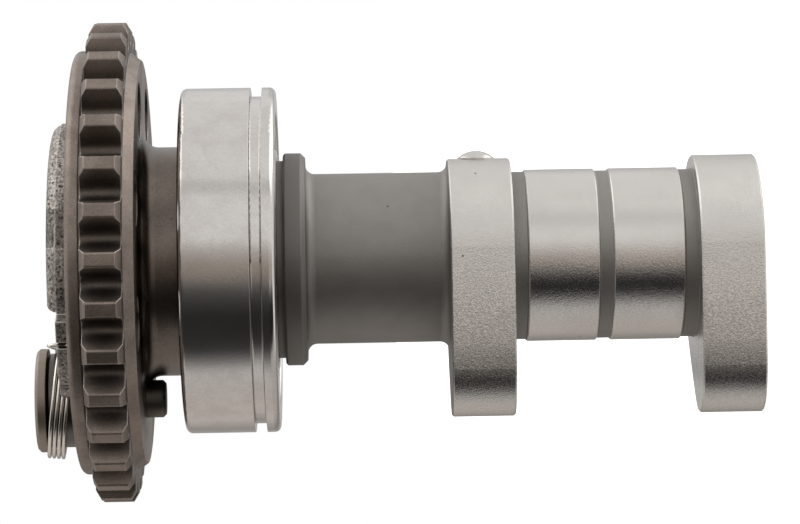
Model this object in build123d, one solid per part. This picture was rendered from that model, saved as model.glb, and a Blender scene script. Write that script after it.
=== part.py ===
from build123d import *
import math
import os

# An exhaust camshaft of a small four-stroke engine, with its ball bearing, chain sprocket and
# automatic decompression mechanism. Millimetres and degrees. The camshaft stands on the flat
# end of its second lobe: Z is its axis, Z = 0 is that end face and +Z points to the sprocket.
# Seen from -Y, +X is the side the decompression plunger stands out of.

# Camshaft, from the free end to the sprocket
lobe_width = 8.0
relief_width = 1.7
journal_length = 9.15
oil_groove_width = 1.55
tube_length = 18.05
shoulder_width = 2.8
abutment_width = 0.8
journal_radius = 10.98
undercut = 0.26
tube_radius = 10.85
tube_fillet = 1.2
shoulder_height = 2.7
shoulder_chamfer = 0.6
abutment_step = 0.95
nose_radius = 9.0
nose_length = 11.0
edge_chamfer = 0.25
centre_hole_radius = 2.6
centre_pilot_radius = 1.0
centre_hole_depth = 5.5
bore_chamfer = 0.5

# Cam lobes: base circle, nose circle and the long convex flanks between them
base_radius = 12.5
lobe_nose_radius = 6.6
lobe_nose_distance = 14.9
flank_radius = 90.0
lobe_direction = 204.0
lobe_chamfer = 0.2

# Ball bearing
bearing_bore = 22.0
bearing_outside = 44.0
bearing_width = 12.0
bearing_corner = 0.8
ball_diameter = 6.35
ball_count = 9
ball_play = 0.03
race_radius_ratio = 0.52
land_ratio = 0.38
snap_groove_offset = 1.7
snap_groove_width = 1.5
snap_groove_depth = 1.13
cage_sheet = 0.6
cage_band_width = 2.8
cage_play = 0.09
rivet_radius = 0.5
rivet_head_radius = 0.95
rivet_head_height = 0.4

# Chain sprocket
tooth_count = 32
tooth_phase = -89.4
root_radius = 27.6
tooth_height = 2.96
tooth_flank_angle = 26.3
root_fillet = 1.1
tip_rounding = 0.35
tooth_band_width = 5.05
tip_bevel_width = 0.65
tip_bevel_height = 1.1
hub_radius = 14.6
hub_length = 5.0
hub_fillet = 2.0
rim_depth = 1.9
rim_step = 1.25
rim_seam_depth = 1.0
rim_seam_width = 0.3
flange_thickness = 2.0
flange_drop = 0.6
flange_rounding = 0.9
window_radius = 3.6
window_margin = 3.5
window_angles = (-112.5, -67.5, -22.5, 22.5, 67.5, 112.5)

# Decompression weight and what it swings on
swing_limit = 10.0
pivot_distance = 17.5
weight_clearance = 0.1
weight_outer_radius = 18.0
weight_inner_radius = 10.2
weight_thickness = 2.9
weight_tip_angle = -10.5
weight_step_angle = -110.5
weight_edge_rounding = 1.7
weight_end_rounding = 0.7
gate_flat_angle = -79.0
gate_flat_width = 2.9
gate_flat_depth = 0.3
arm_outer_radius = 20.5
arm_thickness = 1.7
arm_end_angle = -137.0
boss_radius = 6.0
boss_thickness = 0.6
neck_radius = 2.6
neck_root_shift = 2.3
neck_tip_angle = -141.0
finger_radius = 3.3
finger_root_angle = -26.0
spot_face_radius = 8.4
running_play = 0.05
pin_radius = 2.4
pin_head_radius = 6.6
pin_head_thickness = 1.35
pin_head_chamfer = 0.35
pin_tail_length = 2.4
pin_tail_chamfer = 0.4
bush_radius = 6.0
bush_neck_radius = 3.6
bush_chamfer = 0.4
bush_height = 4.25
stop_pin_radius = 1.3
stop_pin_place = 0.45
stop_pin_depth = 4.0
stop_pin_stand = 2.2

# Torsion spring
wire_radius = 0.25
coil_radius = 6.9
coil_pitch = 0.59
coil_turns = 4.09
coil_tilt = 5.5
coil_roll = 2.0
coil_sag = 0.45
coil_lift = 0.6
weight_leg_angle = 2.6
weight_leg_length = 16.3
frame_leg_length = 5.0
leg_bend_radius = 0.7
leg_notch_play = 0.12
frame_leg_depth = 1.7

# Release shaft in the camshaft's bore, and the plunger that it moves
shaft_ratio = 4.3
bore_radius = 4.5
bore_end_gap = 0.9
shaft_gap = 0.4
shaft_relief_radius = 3.9
shaft_rear_land = 8.0
shaft_front_land = 10.0
head_radius = 7.8
head_thickness = 2.0
head_gap = 0.1
drive_pin_distance = 5.5
drive_pin_setback = 0.5
drive_pin_radius = 1.25
drive_pin_stand = 2.6
crank_distance = 1.45
crank_angle = -48.5
crank_radius = 0.9
crank_play = 0.08
crank_end_gap = 0.2
plunger_offset = 0.25
plunger_radius = 2.35
plunger_stand = 0.95
plunger_tail = 0.6
plunger_dome_radius = 3.4
plunger_flat = 0.04
plunger_web = 1.2

# Stations along the axis
journal_2_start = lobe_width + relief_width
journal_2_end = journal_2_start + journal_length
journal_1_start = journal_2_end + oil_groove_width
journal_1_end = journal_1_start + journal_length
lobe_1_start = journal_1_end + relief_width
lobe_1_end = lobe_1_start + lobe_width
tube_end = lobe_1_end + tube_length
shoulder_end = tube_end + shoulder_width
bearing_start = shoulder_end + abutment_width
bearing_end = bearing_start + bearing_width
nose_end = bearing_end + nose_length
web_start = bearing_end + hub_length
band_start = web_start + rim_step
band_end = band_start + tooth_band_width
flange_face = band_end + flange_thickness
weight_start = flange_face + weight_clearance
weight_end = weight_start + weight_thickness
arm_end = weight_start + arm_thickness
boss_end = weight_start + boss_thickness
plunger_height = lobe_1_start + lobe_width / 2 + plunger_offset
bore_end = plunger_height - plunger_radius - bore_end_gap
shaft_start = plunger_height + plunger_radius + shaft_gap
head_start = nose_end + head_gap
head_end = head_start + head_thickness
pivot = (-pivot_distance, 0)

# Radii that follow from others
shoulder_radius = tube_radius + shoulder_height
abutment_radius = shoulder_radius - abutment_step
tip_radius = root_radius + tooth_height
web_radius = root_radius - rim_depth
flange_radius = root_radius - flange_drop
window_distance = root_radius - window_margin - window_radius


def polar(radius, angle, centre=(0, 0)):
    """Point at a radius and an angle in degrees about a centre in the XY plane."""
    turn = math.radians(angle)
    return (centre[0] + radius * math.cos(turn), centre[1] + radius * math.sin(turn))


def turned(*corners):
    """Solid of revolution about Z from corners given as (radius, height) or (radius, height, fillet)."""
    points = [corner[:2] for corner in corners]
    fillets = [corner[2] if len(corner) > 2 else 0 for corner in corners]
    outline = FilletPolyline(*points, radius=fillets, close=True)
    return revolve(Plane.XZ * make_face(outline.edges()), Axis.Z)


def disc(radius, start, end, at=(0, 0)):
    """Plain upright cylinder between two heights."""
    return extrude(Plane.XY.offset(start) * Pos(*at) * Circle(radius), end - start)


def plate(sketch, start, end):
    """Flat outline in the XY plane carried up between two heights."""
    return extrude(Plane.XY.offset(start) * sketch, end - start)


def ring_sector(inner, outer, start, end):
    """Part of a flat ring between two angles."""
    sides = [
        CenterArc((0, 0), outer, start, end - start),
        Line(polar(outer, end), polar(inner, end)),
        CenterArc((0, 0), inner, start, end - start),
        Line(polar(inner, start), polar(outer, start)),
    ]
    return make_face(sides)


def export(solid, name):
    """Write one piece to its own file."""
    solid.label = name
    export_step(solid, f"parts/{name}.step")


def cam_outline():
    """Base circle and nose circle joined by two convex flank arcs that are tangent to both."""
    to_base = flank_radius - base_radius
    to_nose = flank_radius - lobe_nose_radius
    along = (to_base**2 - to_nose**2 + lobe_nose_distance**2) / (2 * lobe_nose_distance)
    across = math.sqrt(to_base**2 - along**2)
    base_angle = math.degrees(math.atan2(-across, -along))
    nose_angle = math.degrees(math.atan2(-across, lobe_nose_distance - along))
    nose_centre = (lobe_nose_distance, 0)
    on_base = polar(base_radius, base_angle)
    on_nose = polar(lobe_nose_radius, nose_angle, nose_centre)
    middle = polar(flank_radius, (base_angle + nose_angle) / 2, (along, across))
    mirrored = [(x, -y) for x, y in (on_base, middle, on_nose)]
    sides = [
        ThreePointArc(on_base, polar(base_radius, 180), mirrored[0]),
        ThreePointArc(*mirrored),
        ThreePointArc(mirrored[2], polar(lobe_nose_radius, 0, nose_centre), on_nose),
        ThreePointArc(on_nose, middle, on_base),
    ]
    return Rot(0, 0, lobe_direction) * make_face(sides)


def cam_lobe(start):
    """One lobe, with both edges of its running face broken."""
    lobe = plate(cam_outline(), start, start + lobe_width)
    rims = lobe.edges().group_by(Axis.Z)
    return chamfer(rims[0] + rims[-1], lobe_chamfer)


def journal(start):
    """Ground plain-bearing journal with chamfered ends."""
    end = start + journal_length
    return turned(
        (0, start),
        (journal_radius - edge_chamfer, start),
        (journal_radius, start + edge_chamfer),
        (journal_radius, end - edge_chamfer),
        (journal_radius - edge_chamfer, end),
        (0, end),
    )


def camshaft_body():
    """Shaft, lobes, journals, thrust shoulder, bearing seat and nose, with the release bore."""
    core_radius = journal_radius - undercut
    seat_radius = bearing_bore / 2
    tube_foot = tube_radius + tube_fillet + edge_chamfer
    core = turned(
        (0, lobe_width / 2),
        (core_radius, lobe_width / 2),
        (core_radius, lobe_1_end - lobe_width / 2),
        (0, lobe_1_end - lobe_width / 2),
    )
    upper = turned(
        (0, lobe_1_end - lobe_width / 2),
        (core_radius, lobe_1_end - lobe_width / 2),
        (core_radius, lobe_1_end - edge_chamfer),
        (tube_foot, lobe_1_end - edge_chamfer),
        (tube_foot, lobe_1_end),
        (tube_radius, lobe_1_end, tube_fillet),
        (tube_radius, tube_end, tube_fillet),
        (shoulder_radius - shoulder_chamfer, tube_end),
        (shoulder_radius, tube_end + shoulder_chamfer),
        (shoulder_radius, shoulder_end - edge_chamfer),
        (shoulder_radius - edge_chamfer, shoulder_end),
        (abutment_radius, shoulder_end),
        (abutment_radius, bearing_start),
        (seat_radius, bearing_start),
        (seat_radius, bearing_end),
        (nose_radius, bearing_end),
        (nose_radius, nose_end - edge_chamfer),
        (nose_radius - edge_chamfer, nose_end),
        (0, nose_end),
    )
    body = core + upper + journal(journal_2_start) + journal(journal_1_start)
    body += cam_lobe(0) + cam_lobe(lobe_1_start)
    bore = turned(
        (0, bore_end),
        (bore_radius, bore_end),
        (bore_radius, nose_end - bore_chamfer),
        (bore_radius + bore_chamfer, nose_end),
        (0, nose_end),
    )
    cone_depth = (centre_hole_radius - centre_pilot_radius) * math.sqrt(3)
    centre_hole = turned(
        (0, 0),
        (centre_hole_radius, 0),
        (centre_pilot_radius, cone_depth),
        (centre_pilot_radius, centre_hole_depth),
        (0, centre_hole_depth + centre_pilot_radius / 2),
    )
    plunger_bore = Plane.YZ * Pos(0, plunger_height) * Circle(plunger_radius + running_play)
    return body - bore - centre_hole - extrude(plunger_bore, base_radius + plunger_stand)


def bearing_ring(surface_radius, land_radius, side):
    """Inner ring (side -1) or outer ring (side 1) of the bearing with its ball race."""
    pitch_radius = (bearing_bore + bearing_outside) / 4
    race_radius = race_radius_ratio * ball_diameter
    race_bottom = pitch_radius + side * (ball_diameter / 2 + ball_play)
    middle = (bearing_start + bearing_end) / 2
    ring = turned(
        (land_radius, bearing_start, bearing_corner / 2),
        (surface_radius, bearing_start, bearing_corner),
        (surface_radius, bearing_end, bearing_corner),
        (land_radius, bearing_end, bearing_corner / 2),
    )
    race_centre = race_bottom - side * race_radius
    race = revolve(Plane.XZ * Pos(race_centre, middle) * Circle(race_radius), Axis.Z)
    return ring - race


def bearing_inner_ring():
    """Inner ring, pressed on the camshaft's seat."""
    land_radius = (bearing_bore + bearing_outside) / 4 - land_ratio * ball_diameter
    return bearing_ring(bearing_bore / 2, land_radius, -1)


def bearing_outer_ring():
    """Outer ring with a groove for a snap ring near its lower face."""
    land_radius = (bearing_bore + bearing_outside) / 4 + land_ratio * ball_diameter
    outside = bearing_outside / 2
    low = bearing_start + snap_groove_offset
    high = low + snap_groove_width
    floor = outside - snap_groove_depth
    groove = turned(
        (floor, low, edge_chamfer),
        (outside + 1, low),
        (outside + 1, high),
        (floor, high, edge_chamfer),
    )
    return bearing_ring(outside, land_radius, 1) - groove


def ball_places(offset=0.0):
    """Places round the pitch circle, on the balls or an offset of a ball space beyond them."""
    pitch_radius = (bearing_bore + bearing_outside) / 4
    middle = (bearing_start + bearing_end) / 2
    return Pos(0, 0, middle) * PolarLocations(
        pitch_radius, ball_count, start_angle=offset * 360 / ball_count
    )


def bearing_balls():
    """The balls, as a group of solids."""
    return Compound([place * Sphere(ball_diameter / 2) for place in ball_places()])


def cage_half():
    """Upper pressed half of the ribbon cage: a flat band with a round pocket over each ball."""
    pitch_radius = (bearing_bore + bearing_outside) / 4
    middle = (bearing_start + bearing_end) / 2
    pocket = ball_diameter / 2 + cage_play
    shell = pocket + cage_sheet
    band = Circle(pitch_radius + cage_band_width / 2) - Circle(pitch_radius - cage_band_width / 2)
    bumps = Part() + [place * Sphere(shell) for place in ball_places()]
    half = plate(band, middle, middle + shell) & bumps
    half += plate(band, middle, middle + cage_sheet)
    half -= [place * Sphere(pocket) for place in ball_places()]
    return half - [place * Cylinder(rivet_radius, 4 * cage_sheet) for place in ball_places(0.5)]


def cage_lower_half():
    """Lower half of the cage, the upper half's mirror image."""
    return mirror(cage_half(), Plane.XY.offset((bearing_start + bearing_end) / 2))


def cage_rivets():
    """The rivets that hold the cage halves together between the balls, as a group of solids."""
    reach = cage_sheet + rivet_head_height
    rivet = turned(
        (0, -reach),
        (rivet_head_radius, -reach, rivet_head_height / 2),
        (rivet_head_radius, -cage_sheet),
        (rivet_radius, -cage_sheet),
        (rivet_radius, cage_sheet),
        (rivet_head_radius, cage_sheet),
        (rivet_head_radius, reach, rivet_head_height / 2),
        (0, reach),
    )
    return Compound([place * rivet for place in ball_places(0.5)])


def toothed_band():
    """Toothed rim: straight-sided gaps with round roots, the tips rounded and bevelled."""
    half_angle = math.radians(tooth_flank_angle)
    apex = root_radius - root_fillet * (1 / math.sin(half_angle) - 1)
    past_tip = tip_radius + 1
    half_mouth = (past_tip - apex) * math.tan(half_angle)
    corners = ((apex, 0), (past_tip, half_mouth), (past_tip, -half_mouth))
    gap = make_face(FilletPolyline(*corners, radius=(root_fillet, 0, 0), close=True).edges())
    first_gap = tooth_phase + 180 / tooth_count
    gaps = [place * gap for place in PolarLocations(0, tooth_count, start_angle=first_gap)]
    teeth = Circle(tip_radius) - gaps
    corners = sorted(teeth.vertices(), key=lambda corner: math.hypot(corner.X, corner.Y))
    teeth = fillet(corners[-2 * tooth_count :], tip_rounding)
    bevel_start = tip_radius - tip_bevel_height
    rim = turned(
        (web_radius, band_start),
        (bevel_start, band_start),
        (tip_radius, band_start + tip_bevel_width),
        (tip_radius, band_end - tip_bevel_width),
        (bevel_start, band_end),
        (web_radius, band_end),
    )
    return rim & plate(teeth, band_start, band_end)


def timing_sprocket():
    """Sprocket with hub, web, lightening holes and the flange that carries the weight."""
    seam_radius = root_radius - rim_seam_depth
    body = turned(
        (nose_radius, bearing_end),
        (hub_radius, bearing_end),
        (hub_radius, web_start, hub_fillet),
        (web_radius, web_start),
        (seam_radius, band_start),
        (seam_radius, band_end + rim_seam_width),
        (flange_radius, band_end + rim_seam_width),
        (flange_radius, flange_face, flange_rounding),
        (nose_radius, flange_face),
    )
    body += toothed_band()
    for angle in window_angles:
        body -= disc(window_radius, web_start, flange_face, polar(window_distance, angle))
    body -= disc(pin_radius, bearing_end, flange_face, pivot)
    body -= disc(stop_pin_radius, flange_face - stop_pin_depth, flange_face, stop_pin_centre())
    leg_hole = spring_corners()[0]
    hole_radius = wire_radius + leg_notch_play
    hole_floor = flange_face - frame_leg_depth - leg_notch_play
    return body - disc(hole_radius, hole_floor, flange_face, (leg_hole.X, leg_hole.Y))


def finger_line():
    """The two ends of the middle line of the weight's finger, from the drive pin outwards."""
    near = (drive_pin_distance - drive_pin_setback, 0)
    far = polar(weight_outer_radius - finger_radius - weight_clearance, finger_root_angle)
    return near, far


def stop_pin_centre():
    """Centre of the stop pin, beside the finger on the side away from the swing."""
    near, far = finger_line()
    length = math.dist(near, far)
    along = ((far[0] - near[0]) / length, (far[1] - near[1]) / length)
    distance = finger_radius + weight_clearance + stop_pin_radius
    reach = stop_pin_place * length
    return (
        near[0] + along[0] * reach - along[1] * distance,
        near[1] + along[1] * reach + along[0] * distance,
    )


def spring_coil():
    """Middle line of the coil round the pivot, leaning towards the shaft, from the sprocket's
    end to the weight's end."""
    height = coil_turns * coil_pitch
    coil = Helix(coil_pitch, height, coil_radius, lefthand=True)
    first_angle = weight_leg_angle + 360 * coil_turns
    base = boss_end + coil_lift + wire_radius
    lean = Pos(-pivot_distance - coil_sag, 0, base) * Rot(coil_roll, coil_tilt, 0)
    return lean * Rot(0, 0, first_angle) * coil


def spring_corners():
    """Corners of the two legs, where they bend down into the sprocket and into the weight."""
    coil = spring_coil()
    frame_corner = coil @ 0 - (coil % 0) * frame_leg_length
    weight_corner = coil @ 1 + (coil % 1) * weight_leg_length
    return frame_corner, weight_corner


def weight_spring():
    """Torsion spring: a close coil with one leg in the sprocket and one in the weight's edge."""
    coil = spring_coil()
    frame_corner, weight_corner = spring_corners()
    frame_end = Vector(frame_corner.X, frame_corner.Y, flange_face - frame_leg_depth)
    weight_end_point = Vector(weight_corner.X, weight_corner.Y, weight_start + weight_clearance)
    frame_leg = FilletPolyline(frame_end, frame_corner, coil @ 0, radius=leg_bend_radius)
    weight_leg = FilletPolyline(coil @ 1, weight_corner, weight_end_point, radius=leg_bend_radius)
    path = Wire([*frame_leg.edges(), coil.edge(), *weight_leg.edges()])
    section = Plane(path @ 0, z_dir=path % 0) * Circle(wire_radius)
    return sweep(section, path)


def weight_outline():
    """Flat outline of the weight's thin parts: arm, boss, neck and the finger to the drive pin."""
    boss = Pos(*pivot) * Circle(boss_radius)
    neck_root = Pos(neck_root_shift - pivot_distance, 0) * Circle(neck_radius)
    neck_tip = Pos(*polar(arm_outer_radius - neck_radius, neck_tip_angle)) * Circle(neck_radius)
    near, far = finger_line()
    finger_ends = Pos(*near) * Circle(finger_radius) + Pos(*far) * Circle(finger_radius)
    outline = boss + make_hull(neck_root.edges() + neck_tip.edges())
    outline += ring_sector(
        weight_inner_radius, arm_outer_radius, arm_end_angle, weight_step_angle
    )
    outline += ring_sector(
        weight_inner_radius, weight_outer_radius, weight_step_angle, weight_tip_angle
    )
    return outline + make_hull(finger_ends.edges())


def drive_slot():
    """Slot in the weight, on the path that the drive pin takes as weight and shaft turn."""
    path = []
    for part in (0, 0.5, 1):
        swing = part * swing_limit
        pin = polar(drive_pin_distance, -shaft_ratio * swing)
        reach = math.dist(pin, pivot)
        bearing = math.degrees(math.atan2(pin[1] - pivot[1], pin[0] - pivot[0]))
        path.append(polar(reach, bearing + swing, pivot))
    return SlotArc(ThreePointArc(*path), 2 * (drive_pin_radius + running_play))


def leg_notch():
    """Notch in the weight's outer edge for the spring's leg, open outwards."""
    corner = spring_corners()[1]
    half_width = wire_radius + leg_notch_play
    round_end = disc(half_width, weight_start, weight_end, (corner.X, corner.Y))
    mouth = Pos(corner.X, corner.Y) * Rectangle(
        2 * half_width, arm_outer_radius, align=(Align.CENTER, Align.MAX)
    )
    return round_end + plate(mouth, weight_start, weight_end)


def decompression_weight():
    """Crescent weight: thick on the -Y side, with a thin arm to the pivot."""
    thick = plate(
        ring_sector(weight_inner_radius, weight_outer_radius, weight_step_angle, weight_tip_angle),
        weight_start,
        weight_end,
    )
    top_edges = thick.faces().sort_by(Axis.Z)[-1].edges()
    thick = fillet(top_edges.sort_by(SortBy.LENGTH)[-1], weight_edge_rounding)
    top_edges = thick.faces().sort_by(Axis.Z)[-1].edges()
    thick = fillet(top_edges.sort_by(SortBy.LENGTH)[:-1], weight_end_rounding)
    flat_centre = polar(weight_outer_radius, gate_flat_angle)
    flat = Rot(0, 0, gate_flat_angle) * Rectangle(2 * gate_flat_depth, gate_flat_width)
    thick -= plate(Pos(*flat_centre) * flat, weight_start, weight_end)
    weight = thick + plate(weight_outline(), weight_start, arm_end)
    weight -= disc(spot_face_radius, boss_end, weight_end, pivot)
    weight -= disc(bush_neck_radius + running_play, weight_start, weight_end, pivot)
    weight -= plate(drive_slot(), weight_start, weight_end)
    return weight - leg_notch()


def weight_pivot_pin():
    """Headed pin through the bush, the weight and the sprocket."""
    head_bottom = flange_face + bush_height
    head_top = head_bottom + pin_head_thickness
    tail = web_start - pin_tail_length
    pin = turned(
        (0, tail),
        (pin_radius - pin_tail_chamfer, tail),
        (pin_radius, tail + pin_tail_chamfer),
        (pin_radius, head_bottom),
        (pin_head_radius, head_bottom),
        (pin_head_radius, head_top - pin_head_chamfer),
        (pin_head_radius - pin_head_chamfer, head_top),
        (0, head_top),
    )
    return Pos(*pivot) * pin


def pivot_bush():
    """Shouldered bush that the weight swings on, held down by the pin's head."""
    shoulder = boss_end + weight_clearance
    top = flange_face + bush_height
    bush = turned(
        (pin_radius, flange_face),
        (bush_neck_radius, flange_face),
        (bush_neck_radius, shoulder),
        (bush_radius, shoulder),
        (bush_radius, top - bush_chamfer),
        (bush_radius - bush_chamfer, top),
        (pin_radius, top),
    )
    return Pos(*pivot) * bush


def weight_stop_pin():
    """Pin in the sprocket's face that the weight rests against."""
    top = flange_face + stop_pin_stand
    pin = turned(
        (0, flange_face - stop_pin_depth),
        (stop_pin_radius, flange_face - stop_pin_depth),
        (stop_pin_radius, top - edge_chamfer),
        (stop_pin_radius - edge_chamfer, top),
        (0, top),
    )
    return Pos(*stop_pin_centre()) * pin


def release_shaft():
    """Shaft with a head that holds the drive pin and a crank that moves the plunger."""
    land = bore_radius - running_play
    shaft = turned(
        (0, shaft_start),
        (land, shaft_start),
        (land, shaft_start + shaft_rear_land),
        (shaft_relief_radius, shaft_start + shaft_rear_land),
        (shaft_relief_radius, nose_end - shaft_front_land),
        (land, nose_end - shaft_front_land),
        (land, head_start),
        (head_radius, head_start),
        (head_radius, head_end, edge_chamfer),
        (0, head_end),
    )
    crank_end = plunger_height - plunger_radius + plunger_web + crank_end_gap
    crank = disc(crank_radius, crank_end, shaft_start, polar(crank_distance, crank_angle))
    pin_hole = disc(drive_pin_radius, head_start, head_end, (drive_pin_distance, 0))
    return shaft + crank - pin_hole


def drive_pin():
    """Pin in the release shaft's head that stands in the weight's slot."""
    top = flange_face + drive_pin_stand
    pin = turned(
        (0, head_start),
        (drive_pin_radius, head_start),
        (drive_pin_radius, top - edge_chamfer),
        (drive_pin_radius - edge_chamfer, top),
        (0, top),
    )
    return Pos(drive_pin_distance, 0) * pin


def decompression_plunger():
    """Domed plunger in the first lobe, with a cross slot for the release shaft's crank."""
    tip = base_radius + plunger_stand
    cap = plunger_dome_radius - math.sqrt(plunger_dome_radius**2 - plunger_radius**2)
    flat_radius = math.sqrt(2 * plunger_dome_radius * plunger_flat)
    dome_middle = tip + plunger_flat - plunger_dome_radius
    turn = math.asin(plunger_radius / plunger_dome_radius) / 2
    on_dome = (
        plunger_dome_radius * math.sin(turn),
        dome_middle + plunger_dome_radius * math.cos(turn),
    )
    sides = [
        Polyline(
            (flat_radius, tip),
            (0, tip),
            (0, -plunger_tail),
            (plunger_radius, -plunger_tail),
            (plunger_radius, tip + plunger_flat - cap),
        ),
        ThreePointArc((plunger_radius, tip + plunger_flat - cap), on_dome, (flat_radius, tip)),
    ]
    plunger = revolve(Plane.XZ * make_face(sides), Axis.Z)
    plunger = Pos(0, 0, plunger_height) * Rot(0, 90, 0) * plunger
    half_slot = crank_radius + crank_play
    slot_floor = plunger_height - plunger_radius + plunger_web
    slot_height = 2 * plunger_radius
    slot = Pos(
        crank_distance * math.cos(math.radians(crank_angle)), 0, slot_floor + slot_height / 2
    ) * Box(2 * half_slot, 3 * plunger_radius, slot_height)
    return plunger - slot


os.makedirs("parts", exist_ok=True)
export(camshaft_body(), "camshaft_body")
export(bearing_inner_ring(), "bearing_inner_ring")
export(bearing_outer_ring(), "bearing_outer_ring")
export(bearing_balls(), "bearing_balls")
export(cage_lower_half(), "cage_half_lower")
export(cage_half(), "cage_half_upper")
export(cage_rivets(), "cage_rivets")
export(timing_sprocket(), "timing_sprocket")
export(decompression_weight(), "decompression_weight")
export(weight_spring(), "weight_spring")
export(weight_pivot_pin(), "weight_pivot_pin")
export(pivot_bush(), "pivot_bush")
export(weight_stop_pin(), "weight_stop_pin")
export(release_shaft(), "release_shaft")
export(drive_pin(), "drive_pin")
export(decompression_plunger(), "decompression_plunger")
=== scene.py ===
"""Camshaft with its sprocket, ball bearing and decompression mechanism, dressed for its portrait.

Metres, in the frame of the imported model: Z is the camshaft's axis, Z = 0 the end it stands on,
+X the side the plunger stands out of, and -Y the side the camera looks from.
"""

import logging
import math
from dataclasses import dataclass, field
from enum import Enum

import bpy
import numpy as np
from mathutils import Matrix, Vector


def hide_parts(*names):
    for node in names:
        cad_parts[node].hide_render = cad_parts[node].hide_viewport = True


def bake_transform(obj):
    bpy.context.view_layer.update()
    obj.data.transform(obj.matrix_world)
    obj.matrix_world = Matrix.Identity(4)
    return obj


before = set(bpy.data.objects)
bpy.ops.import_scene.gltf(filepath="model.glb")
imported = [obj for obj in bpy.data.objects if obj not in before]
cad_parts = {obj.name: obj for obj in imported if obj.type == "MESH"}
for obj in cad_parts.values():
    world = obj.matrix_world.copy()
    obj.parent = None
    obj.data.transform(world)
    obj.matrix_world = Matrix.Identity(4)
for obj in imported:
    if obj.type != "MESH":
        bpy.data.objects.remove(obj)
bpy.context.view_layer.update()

LOG = logging.getLogger("camshaft")
MM = 0.001
MICRON = 0.000001

Colour = tuple[float, float, float]
Span = tuple[float, float]
Table = tuple[tuple[float, float], ...]
Socket = bpy.types.NodeSocket
Value = Socket | float
Paint = Socket | Colour

WHITE: Colour = (1.0, 1.0, 1.0)
PIT_COLOUR: Colour = (0.03, 0.027, 0.024)

# Values of a noise between which broad patches, or grain and specks, go from end to end.
PATCH_ENDS: Span = (0.35, 0.7)
NOISE_ENDS: Span = (0.3, 0.7)
# Least and most roughness within the patches, as shares of a metal's own.
ROUGHNESS_SPREAD: Span = (0.92, 1.1)
# How well the rounded normal agrees with the true one where the painted highlight begins, and where
# it is full.
HIGHLIGHT_ENDS: Span = (0.97, 0.8)
BEVEL_SAMPLES = 6
# How far the tool marks' noise moves on with each radian round the axis, in metres.
RING_DRIFT = 0.6 * MM
# Place of the weight's pivot, in X and Y in metres.
PIVOT: tuple[float, float] = (-17.5 * MM, 0.0)
# Places of the colours among a Mix node's inputs and outputs.
MIX_FIRST, MIX_SECOND, MIX_RESULT = 6, 7, 2


class Body(Enum):
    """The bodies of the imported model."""

    CAMSHAFT = "camshaft"
    WEIGHT = "weight"


class Blend(Enum):
    """How two colours are put together."""

    MIX = "MIX"
    MULTIPLY = "MULTIPLY"


class Glow(Enum):
    """The numbers that the light tent's points carry."""

    GREY = "grey"
    WARMTH = "warmth"


class Grid:
    """Surfaces worked out on a grid of two parameters and put into meshes."""

    @staticmethod
    def mesh(
        name: str, points: np.ndarray, wrap: bool = False, caps: bool = False
    ) -> bpy.types.Object:
        """A mesh from a grid of points, with quads between neighbours.

        Args:
            name: Name of the new object.
            points: Array (rows, columns, 3) of places in metres.
            wrap: Whether the last column joins the first.
            caps: Whether the first and last rows are closed with a face each.

        Returns:
            The new object, linked to the scene.
        """
        rows, columns = points.shape[:2]
        index = np.arange(rows * columns).reshape(rows, columns)
        lower, upper = index[:-1], index[1:]
        quads = np.stack([lower, np.roll(lower, -1, 1), np.roll(upper, -1, 1), upper], -1)
        if not wrap:
            quads = quads[:, :-1]
        faces = quads.reshape(-1, 4).tolist()
        if caps:
            faces += [index[0][::-1].tolist(), index[-1].tolist()]
        mesh = bpy.data.meshes.new(name)
        mesh.from_pydata(points.reshape(-1, 3).tolist(), [], faces)
        mesh.validate()
        mesh.shade_smooth()
        thing = bpy.data.objects.new(name, mesh)
        bpy.context.scene.collection.objects.link(thing)
        return thing


@dataclass(frozen=True)
class Layers:
    """How a noise is built up of finer and finer layers.

    Attributes:
        detail: How many finer layers it has.
        rough: Share of its strength that each layer hands on to the next.
    """

    detail: float
    rough: float


PATCH_LAYERS = Layers(detail=3.0, rough=0.6)
GRAIN_LAYERS = Layers(detail=2.0, rough=0.6)
MARK_LAYERS = Layers(detail=3.0, rough=0.7)
SPECK_LAYERS = Layers(detail=2.0, rough=0.7)


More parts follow.
